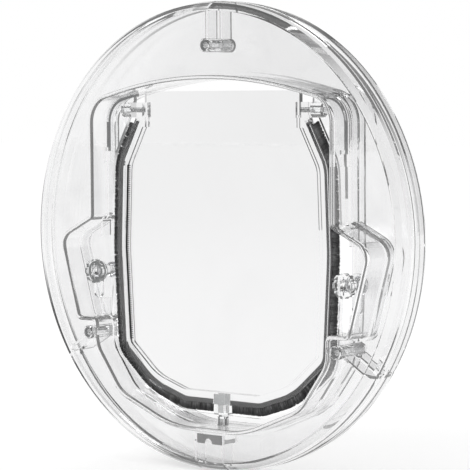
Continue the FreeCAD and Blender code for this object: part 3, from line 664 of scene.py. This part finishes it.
@dataclass
class BrushStrip:
    """One side's brush: clumps of bristles along the rail, from the top down to the catch.

    The corners are the tips' outline from the top to the middle of the sill, each with its
    radius. Lengths are in millimetres and angles in degrees, except the spin, in radians.
    """

    side: Side
    corners: tuple[Corner, ...] = (
        (58.2, 66.5, 0.5), (72.9, 38.5, 24.0), (74.6, -8.0, 120.0), (71.6, -63.0, 13.0),
        (49.0, -83.3, 40.0), (26.0, -90.9, 18.0), (0.0, -90.9, 0.0))
    pile_length: float = 4.4
    corner_steps: int = 6
    root_cover: float = 0.15
    gap_half: float = 5.6
    end_gap: float = 0.4
    middle: float = 1.0
    pitch: float = 0.45
    clump_length: float = 0.8
    clump_depth: float = 1.0
    bristles: int = 18
    kinds: int = 10
    root_radius: float = 0.16
    tip_radius: float = 0.10
    shorter: float = 0.9
    shorter_bias: float = 1.8
    sway: float = 4.5
    lean: float = 2.5
    tilt: float = 0.8
    spin: float = 6.3
    tones: tuple[float, float] = (0.35, 0.55)
    tone_spread: float = 0.33
    seed: int = 7

    SHADE = "bristle_shade"
    RISE = "bristle_rise"

    @property
    def name(self) -> str:
        """The piece's name."""
        return f"bristles_{self.side.word}"

    def tip_path(self) -> list[Vector]:
        """Walks the tips' outline with its corners rounded by the bevel operator.

        Returns:
            Points from the top to the middle of the sill, in metres.
        """
        bm = bmesh.new()
        verts = [bm.verts.new((x * self.side.value * MM, 0.0, z * MM))
                 for x, z, _ in self.corners]
        for first, second in zip(verts, verts[1:]):
            bm.edges.new((first, second))
        radii = {v: r * MM for v, (_, _, r) in zip(verts, self.corners)}
        for vert in verts[1:-1]:
            ends = [(e.other_vert(vert).co - vert.co).normalized() for e in vert.link_edges]
            turn = math.pi - ends[0].angle(ends[1])
            bmesh.ops.bevel(bm, geom=[vert], offset=radii[vert] * math.tan(turn / 2),
                            offset_type="OFFSET", affect="VERTICES",
                            segments=self.corner_steps, profile=0.5, material=-1)
        bm.verts.ensure_lookup_table()
        start = max((v for v in bm.verts if len(v.link_edges) == 1), key=lambda v: v.co.z)
        path, seen, here = [start.co.copy()], {start}, start
        while True:
            ahead = [e.other_vert(here) for e in here.link_edges
                     if e.other_vert(here) not in seen]
            if not ahead:
                break
            here = ahead[0]
            seen.add(here)
            path.append(here.co.copy())
        bm.free()
        return path

    def stations(self, pitch: float) -> Iterator[tuple[Vector, Vector]]:
        """Steps along the tips' outline.

        Args:
            pitch: the step, in metres.

        Yields:
            A point and the outward direction there.
        """
        path = self.tip_path()
        carried = 0.0
        for first, second in zip(path, path[1:]):
            run = second - first
            length = run.length
            if length < SHORTEST_RUN:
                continue
            along = run / length
            outward = Vector((along.z, 0.0, -along.x)) * -self.side.value
            while carried <= length:
                yield first + along * carried, outward
                carried += pitch
            carried -= length

    def clump(self, chance: random.Random) -> bpy.types.Mesh:
        """Makes one clump that stands on its root and points up.

        Args:
            chance: where its unevenness comes from.

        Returns:
            The clump's mesh, with a tone and a height on each bristle.
        """
        bm = bmesh.new()
        shade = bm.faces.layers.float.new(self.SHADE)
        rise = bm.verts.layers.float.new(self.RISE)
        sway = chance.gauss(0.0, self.sway)
        base = chance.uniform(*self.tones)
        for _ in range(self.bristles):
            length = (self.pile_length + self.root_cover
                      - self.shorter * chance.random() ** self.shorter_bias)
            root = Vector((chance.uniform(-0.5, 0.5) * self.clump_length,
                           chance.uniform(-0.5, 0.5) * self.clump_depth, length / 2))
            lean = (Matrix.Rotation(math.radians(sway + chance.gauss(0.0, self.lean)), 4, "Y")
                    @ Matrix.Rotation(math.radians(chance.gauss(0.0, self.tilt)), 4, "X"))
            made = bmesh.ops.create_cone(
                bm, cap_ends=True, segments=3, radius1=self.root_radius * MM,
                radius2=self.tip_radius * MM, depth=length * MM,
                matrix=lean @ Matrix.Translation(root * MM)
                @ Matrix.Rotation(chance.uniform(0.0, self.spin), 4, "Z"))
            tone = min(1.0, max(0.0, chance.gauss(base, self.tone_spread)))
            for vert in made["verts"]:
                vert[rise] = min(1.0, max(0.0, vert.co.z / (self.pile_length * MM)))
            for face in {f for v in made["verts"] for f in v.link_faces}:
                face[shade] = tone
        mesh = bpy.data.meshes.new("clump")
        bm.to_mesh(mesh)
        bm.free()
        return mesh

    def build(self, finishes: Finishes) -> bpy.types.Object:
        """Sets the clumps along the rail and lets them stand for the pile's solid.

        Args:
            finishes: the finishes.

        Returns:
            The brush.
        """
        chance = random.Random(self.seed * 10 + self.side.value)
        kinds = [self.clump(chance) for _ in range(self.kinds)]
        low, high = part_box(f"brush_pile_{self.side.word}")
        reach = (self.pile_length + self.root_cover) * MM
        bm = bmesh.new()
        for tip, outward in self.stations(self.pitch * MM):
            if (tip.z > high.z - self.end_gap * MM
                    or abs(tip.x) < (self.gap_half + self.end_gap) * MM):
                continue
            root = tip - outward * reach
            root.y = self.middle * MM
            stand = Matrix((outward.cross(Vector((0, -1, 0))), Vector((0, -1, 0)),
                            outward)).transposed().to_4x4()
            there = Matrix.Translation(root) @ stand
            kind = chance.choice(kinds)
            kind.transform(there)
            bm.from_mesh(kind)
            kind.transform(there.inverted())
        for vert in bm.verts:
            vert.co = [min(max(value, least), most)
                       for value, least, most in zip(vert.co, low, high)]
        piece = piece_from(bm, self.name, finishes.made["brush_pile"])
        for kind in kinds:
            bpy.data.meshes.remove(kind)
        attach(piece, "flap")
        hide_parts(f"brush_pile_{self.side.word}")
        return piece


@dataclass
class BackingTape:
    """The woven tape in the rail's groove that holds the bristles, a hair smaller than it."""

    strip: BrushStrip
    width: float = 2.5
    ease: float = 0.08
    step: float = 1.5

    def build(self, finishes: Finishes) -> bpy.types.Object:
        """Sweeps the tape along the roots of the bristles.

        Args:
            finishes: the finishes.

        Returns:
            The tape.
        """
        name = f"backing_tape_{self.strip.side.word}"
        low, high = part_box(f"brush_backing_{self.strip.side.word}")
        low_y, high_y = low.y + self.ease * MM, high.y - self.ease * MM
        bm = bmesh.new()
        verts, ways = [], []
        for tip, outward in self.strip.stations(self.step * MM):
            root = tip - outward * (self.strip.pile_length + self.ease) * MM
            if root.z > high.z or abs(root.x) < self.strip.gap_half * MM:
                continue
            verts.append(bm.verts.new((root.x, low_y, root.z)))
            ways.append(outward)
        edges = [bm.edges.new(pair) for pair in zip(verts, verts[1:])]
        drawn = bmesh.ops.extrude_edge_only(bm, edges=edges)["geom"]
        moved = {v for v in drawn if isinstance(v, bmesh.types.BMVert)}
        for vert in moved:
            near = min(range(len(verts)), key=lambda i: (verts[i].co - vert.co).length_squared)
            vert.co -= ways[near] * (self.width - 2 * self.ease) * MM
        grown = bmesh.ops.extrude_face_region(bm, geom=bm.faces[:])["geom"]
        bmesh.ops.translate(bm, vec=(0.0, high_y - low_y, 0.0),
                            verts=[v for v in grown if isinstance(v, bmesh.types.BMVert)])
        for vert in bm.verts:
            vert.co.z = min(vert.co.z, high.z)
        bmesh.ops.recalc_face_normals(bm, faces=bm.faces)
        piece = piece_from(bm, name, finishes.made["brush_backing"])
        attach(piece, "flap")
        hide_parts(f"brush_backing_{self.strip.side.word}")
        return piece


@dataclass
class Selvedge:
    """The toothed edge of the brush's tape along the straight side of the rail."""

    side: Side
    edge_x: float = 62.4
    front: float = -1.5
    top: float = 35.4
    foot: float = -57.0
    foot_x: float = 61.3
    side_z: float = -8.0
    side_x: float = 63.95
    pitch: float = 1.1
    tooth: float = 0.5
    tooth_reach: float = 1.15
    tooth_y: float = -0.45
    core_depth: float = 1.05
    proud: float = 0.1
    fold: float = 0.2
    edge: float = 0.05

    @property
    def name(self) -> str:
        """The piece's name."""
        return f"selvedge_{self.side.word}"

    def across(self, z: float) -> float:
        """Finds the rail's inner edge.

        Args:
            z: the height, in millimetres.

        Returns:
            Its distance from the middle, in millimetres.
        """
        if z > self.side_z:
            share = (z - self.side_z) / (self.top - self.side_z)
            return self.side_x + (self.edge_x - self.side_x) * share
        share = (self.side_z - z) / (self.side_z - self.foot)
        return self.side_x + (self.foot_x - self.side_x) * share

    @staticmethod
    def block(bm: bmesh.types.BMesh, centre: Triple, size: Triple) -> list[bmesh.types.BMEdge]:
        """Adds a small block.

        Args:
            bm: the mesh it goes into.
            centre: its middle, in millimetres.
            size: its sides, in millimetres.

        Returns:
            Its edges.
        """
        made = bmesh.ops.create_cube(
            bm, size=1.0, matrix=Matrix.Translation(Vector(centre) * MM)
            @ Matrix.Diagonal((*(Vector(size) * MM), 1.0)))
        return list({e for v in made["verts"] for e in v.link_edges})

    def build(self, finishes: Finishes) -> bpy.types.Object:
        """Makes the row of teeth and the folded edge behind it.

        Args:
            finishes: the finishes.

        Returns:
            The toothed edge.
        """
        bm = bmesh.new()
        z = self.top
        while z > self.foot:
            inner = self.across(z) * self.side.value
            tooth = self.block(
                bm, (inner - self.side.value * self.tooth_reach / 2, self.tooth_y, z),
                (self.tooth_reach, self.proud * 2, self.tooth))
            bmesh.ops.bevel(bm, geom=tooth, offset=self.edge * MM, affect="EDGES",
                            segments=1, profile=0.5, material=-1)
            self.block(bm, (inner, self.front + self.core_depth / 2, z),
                       (self.proud * 2, self.core_depth, self.pitch))
            self.block(bm, (inner + self.side.value * self.fold / 2, self.front, z),
                       (self.fold, self.proud * 2, self.pitch))
            z -= self.pitch
        piece = piece_from(bm, self.name, finishes.made["selvedge"])
        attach(piece, "flap")
        return piece


@dataclass
class MagnetBlock:
    """A plated magnet in its pocket, a hair smaller than the pocket, with eased edges."""

    node: str
    body: str
    ease: float = 0.08
    edge: float = 0.25

    def build(self, finishes: Finishes) -> bpy.types.Object:
        """Makes the block, which stands for the magnet's solid.

        Args:
            finishes: the finishes.

        Returns:
            The block.
        """
        low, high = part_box(self.node)
        size = high - low - Vector((2, 2, 2)) * self.ease * MM
        bm = bmesh.new()
        bmesh.ops.create_cube(bm, size=1.0, matrix=Matrix.Translation((low + high) / 2)
                              @ Matrix.Diagonal((*size, 1.0)))
        bmesh.ops.bevel(bm, geom=bm.edges[:], offset=self.edge * MM, affect="EDGES",
                        segments=2, profile=0.5, material=-1)
        piece = piece_from(bm, f"{self.node}_block", finishes.made["magnet"])
        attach(piece, self.body)
        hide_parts(self.node)
        return piece


@dataclass
class FlapSet:
    """The swinging flap: its pane, brushes, pins and catch."""

    nodes: dict[str, str] = field(default_factory=lambda: {
        "flap_panel": "clear_flap", "brush_backing_left": "brush_backing",
        "brush_backing_right": "brush_backing", "pivot_pin_left": "clear_small",
        "pivot_pin_right": "clear_small", "magnet_holder": "clear_catch",
        "flap_magnet": "magnet", "brush_pile_left": "brush_pile",
        "brush_pile_right": "brush_pile"})

    def build(self, finishes: Finishes) -> None:
        """Dresses the solids and adds the magnet, the brushes and the toothed edge.

        Args:
            finishes: the finishes.
        """
        finishes.dress(self.nodes)
        MagnetBlock("flap_magnet", "flap").build(finishes)
        for side in Side:
            strip = BrushStrip(side)
            strip.build(finishes)
            BackingTape(strip).build(finishes)
        Selvedge(Side.LEFT).build(finishes)


@dataclass
class FootPad:
    """The grey pad in the foot's slot, with its round notch, a hair smaller than the slot."""

    ease: float = 0.08
    edge: float = 0.18
    notch_radius: float = 2.75
    notch_offset: float = -1.2
    sides: int = 40
    slack: float = 1e-7
    facing: float = 0.9

    def build(self, finishes: Finishes) -> bpy.types.Object:
        """Makes the pad, which stands for the buffer's solid.

        Args:
            finishes: the finishes.

        Returns:
            The pad.
        """
        low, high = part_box("foot_buffer")
        ease = Vector((self.ease, self.ease, self.ease)) * MM
        low, high = low + ease, high - ease
        foot = low.z
        bm = bmesh.new()
        notch = bmesh.ops.create_circle(
            bm, segments=self.sides, radius=self.notch_radius * MM,
            matrix=Matrix.Translation((self.notch_offset * MM, low.y, foot))
            @ Matrix.Rotation(math.radians(90), 4, "X"))["verts"]
        bmesh.ops.delete(bm, geom=[v for v in notch if v.co.z < foot - self.slack],
                         context="VERTS")
        ends = sorted((v for v in bm.verts if len(v.link_edges) == 1), key=lambda v: v.co.x)
        ring = [bm.verts.new((x, low.y, z)) for x, z in (
            (low.x, foot), (low.x, high.z), (high.x, high.z), (high.x, foot))]
        for first, second in zip([ends[0], *ring], [*ring, ends[1]]):
            bm.edges.new((first, second))
        face = bmesh.ops.contextual_create(bm, geom=list(bm.edges))["faces"]
        pushed = bmesh.ops.extrude_face_region(bm, geom=face)["geom"]
        bmesh.ops.translate(bm, vec=(0.0, high.y - low.y, 0.0),
                            verts=[v for v in pushed if isinstance(v, bmesh.types.BMVert)])
        bmesh.ops.recalc_face_normals(bm, faces=bm.faces)
        flats = {f for f in bm.faces if abs(f.normal.y) > self.facing}
        rims = [e for e in bm.edges if any(f in flats for f in e.link_faces)]
        bmesh.ops.bevel(bm, geom=rims, offset=self.edge * MM, affect="EDGES", segments=3,
                        profile=0.5, material=-1)
        piece = piece_from(bm, "foot_pad", finishes.made["grey_buffer"])
        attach(piece, "frame")
        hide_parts("foot_buffer")
        return piece


@dataclass
class FrameSet:
    """The two clamped half frames with their screws, corner plates, catch post and buffer."""

    nodes: dict[str, str] = field(default_factory=lambda: {
        "inner_frame": "clear_frame", "outer_frame": "clear_frame",
        "fixing_screws": "clear_screw", "corner_plate_left": "clear_small",
        "corner_plate_right": "clear_small", "magnet_post": "clear_small",
        "frame_magnet": "magnet", "foot_buffer": "grey_buffer"})

    def build(self, finishes: Finishes) -> None:
        """Dresses the solids and adds the foot pad and the magnet.

        Args:
            finishes: the finishes.
        """
        finishes.dress(self.nodes)
        FootPad().build(finishes)
        MagnetBlock("frame_magnet", "frame").build(finishes)


@dataclass
class LockSet:
    """One turn lock: knob, finger and washer."""

    side: Side

    def build(self, finishes: Finishes) -> None:
        """Dresses the solids.

        Args:
            finishes: the finishes.
        """
        word = self.side.word
        finishes.dress({f"lock_knob_{word}": "clear_small",
                        f"lock_finger_{word}": "clear_small",
                        f"lock_washer_{word}": "steel_washer"})


class Zone(NamedTuple):
    """A stretch of the tent's height over which its brightness changes."""

    low: float
    high: float
    start: float
    end: float


@dataclass(frozen=True)
class GreyCard:
    """A grey card that stands round the bright tent and draws a line in the clear plastic."""

    azimuth: float
    half_width: float
    softness: float
    value: float


@dataclass
class Studio:
    """A bright tent with grey cards, a pale floor, a soft lamp and the camera."""

    azimuth: float = 38.936
    elevation: float = 3.582
    roll: float = -0.341
    distance: float = 1.12996
    lens: float = 169.85
    target: Triple = (0.009114, 0.0, 0.00112)
    crown: Zone = Zone(0.08, 0.40, 1.0, 0.13)
    skirt: Zone = Zone(-0.60, -0.20, 0.35, 1.0)
    cards: tuple[GreyCard, ...] = (
        GreyCard(-28.0, 9.0, 7.0, 0.30), GreyCard(106.0, 9.0, 7.0, 0.25),
        GreyCard(152.0, 9.0, 7.0, 0.25), GreyCard(-74.0, 9.0, 7.0, 0.30))
    fill: float = 0.8
    floor_height: float = -0.1202
    floor_size: float = 6.0
    floor_to_camera: float = 0.61
    floor_in_glass: float = 0.555
    lamp_place: Triple = (-0.6, -1.2, 1.2)

    def build(self) -> None:
        """Makes the world, floor, lamp and camera."""
        self.tent()
        self.floor()
        self.lamp()
        self.camera()
        bpy.context.scene.view_settings.view_transform = "Standard"

    def tent(self) -> None:
        """Makes the world: white to the camera, with grey zones that gloss and glass show."""
        world = bpy.data.worlds.new("bright_tent")
        bpy.context.scene.world = world
        world.use_nodes = True
        world.node_tree.nodes.clear()
        wiring = Wiring(world.node_tree)
        out = wiring.add("ShaderNodeOutputWorld")
        shade = wiring.add("ShaderNodeBackground")
        shade.inputs["Color"].default_value = WHITE
        way = wiring.add("ShaderNodeSeparateXYZ")
        wiring.feed(way.inputs["Vector"],
                    wiring.add("ShaderNodeTexCoord").outputs["Generated"])
        x, y, z = way.outputs
        level = wiring.math("MULTIPLY", wiring.spread(z, *self.crown),
                            wiring.spread(z, *self.skirt))
        flat = wiring.math("SQRT", wiring.math("ADD", wiring.math("MULTIPLY", x, x),
                                               wiring.math("MULTIPLY", y, y)))
        for card in self.cards:
            turn = math.radians(card.azimuth)
            facing = wiring.math("DIVIDE", wiring.math(
                "ADD", wiring.math("MULTIPLY", x, -math.sin(turn)),
                wiring.math("MULTIPLY", y, math.cos(turn))), flat)
            level = wiring.math("MULTIPLY", level, wiring.spread(
                facing, low=math.cos(math.radians(card.half_width + card.softness)),
                high=math.cos(math.radians(card.half_width)), start=1.0, end=card.value))
        ray = wiring.add("ShaderNodeLightPath").outputs
        shown = wiring.math("MAXIMUM", ray["Is Glossy Ray"], ray["Is Transmission Ray"])
        lit = wiring.math("ADD", wiring.math("MULTIPLY", shown, level), wiring.math(
            "MULTIPLY", wiring.math("SUBTRACT", 1.0, shown), self.fill))
        wiring.feed(shade.inputs["Strength"], wiring.math("MAXIMUM", lit, ray["Is Camera Ray"]))
        wiring.feed(out.inputs["Surface"], shade.outputs["Background"])

    def floor(self) -> None:
        """Lays a pale floor that turns white to the camera and keeps the shadow."""
        material, wiring, shader, place = bare_material("pale_floor")
        grain = wiring.noise(place, scale=40.0, detail=3.0, roughness=0.6)
        wiring.feed(shader.inputs["Base Color"],
                    wiring.mix(grain, (0.49, 0.49, 0.49), (0.51, 0.51, 0.51)))
        shader.inputs["Roughness"].default_value = 0.9
        shader.inputs["Specular IOR Level"].default_value = 0.0
        ray = wiring.add("ShaderNodeLightPath").outputs
        through = wiring.math("MAXIMUM", ray["Is Glossy Ray"], ray["Is Transmission Ray"])
        seen = wiring.math(
            "MAXIMUM", wiring.math("MULTIPLY", ray["Is Camera Ray"], self.floor_to_camera),
            wiring.math("MULTIPLY", through, self.floor_in_glass))
        shader.inputs["Emission Color"].default_value = WHITE
        wiring.feed(shader.inputs["Emission Strength"], seen)
        bm = bmesh.new()
        bmesh.ops.create_grid(bm, x_segments=1, y_segments=1, size=self.floor_size,
                              matrix=Matrix.Translation((0.0, 0.0, self.floor_height)))
        floor = piece_from(bm, "floor", material)
        floor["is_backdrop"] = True

    def lamp(self) -> None:
        """Hangs one soft lamp on the left, above the camera."""
        lamp = bpy.data.lights.new("soft_lamp", "AREA")
        lamp.energy = 8.0
        lamp.size = 0.8
        hung = bpy.data.objects.new("soft_lamp", lamp)
        bpy.context.scene.collection.objects.link(hung)
        hung.location = self.lamp_place
        hung.rotation_euler = (-hung.location).to_track_quat("-Z", "Y").to_euler()

    def camera(self) -> None:
        """Sets the camera at the photograph's angle."""
        turn, rise, roll = (math.radians(a) for a in (self.azimuth, self.elevation, self.roll))
        back = Vector((math.sin(turn) * math.cos(rise), -math.cos(turn) * math.cos(rise),
                       math.sin(rise)))
        right = Vector((0.0, 0.0, 1.0)).cross(back).normalized()
        up = back.cross(right).normalized()
        basis = Matrix((right, up, back)).transposed().to_4x4()
        basis = basis @ Matrix.Rotation(roll, 4, "Z")
        basis.translation = Vector(self.target) + back * self.distance
        lens = bpy.data.cameras.new("camera")
        lens.lens = self.lens
        lens.sensor_width = 36.0
        lens.clip_end = 50.0
        camera = bpy.data.objects.new("camera", lens)
        bpy.context.scene.collection.objects.link(camera)
        camera.matrix_world = basis
        bpy.context.scene.camera = camera


def write_boxes() -> None:
    """Works out the solids' box and the dressed part's box beside each other."""
    boxes = [[list(corner) for corner in box] for box in (CAD_BOX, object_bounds())]


def main() -> None:
    """Builds the flap's finishes, pieces and studio in order."""
    logging.basicConfig(level=logging.INFO, format="%(message)s")
    finishes = Finishes()
    finishes.build()
    FrameSet().build(finishes)
    for side in Side:
        LockSet(side).build(finishes)
    FlapSet().build(finishes)
    Studio().build()
    write_boxes()


if __name__ == "__main__":
    main()
